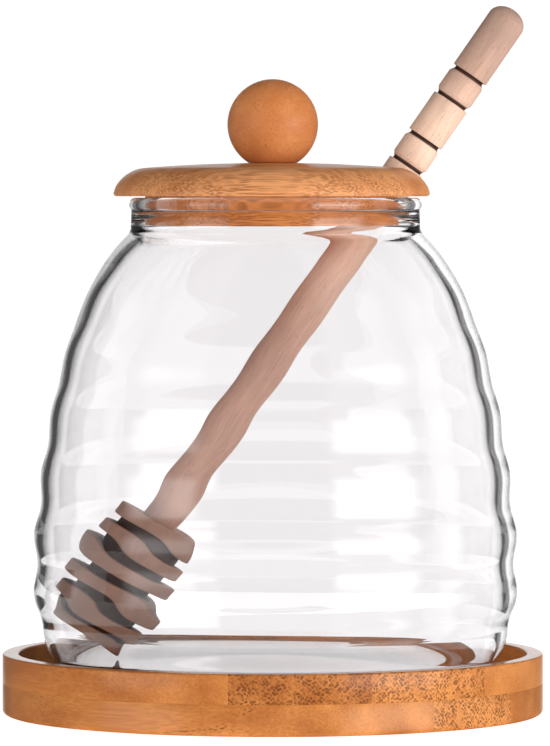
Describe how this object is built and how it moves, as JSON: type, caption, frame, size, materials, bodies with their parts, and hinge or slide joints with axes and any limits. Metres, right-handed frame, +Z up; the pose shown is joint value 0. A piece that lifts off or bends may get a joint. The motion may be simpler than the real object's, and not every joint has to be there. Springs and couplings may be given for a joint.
{
  "type": "glass honey jar with bamboo lid, dipper and saucer",
  "caption": "Clear ribbed glass honey jar in a beehive shape, with a slotted bamboo lid and ball knob, a turned wooden dipper leaning in it, and a round bamboo saucer under it.",
  "frame": {"origin": "middle of the saucer's underside, on the surface that the part stands on", "axes": "+Z up along the jar's axis, +X towards the side where the dipper comes out of the lid, +Y to the back"},
  "size_m": [0.12, 0.12, 0.1567],
  "materials": {
    "saucer_bamboo": "smooth lacquered bamboo, satin",
    "clear_glass": "clear blown glass, glossy",
    "lid_bamboo": "smooth lacquered bamboo, satin",
    "knob_wood": "lacquered turned bamboo ball, satin gloss",
    "dipper_wood": "plain turned wood, matt"
  },
  "bodies": {
    "root": {"saucer": "saucer_bamboo", "jar": "clear_glass", "lid": "lid_bamboo", "knob": "knob_wood", "dipper": "dipper_wood"}
  },
  "joints": []
}
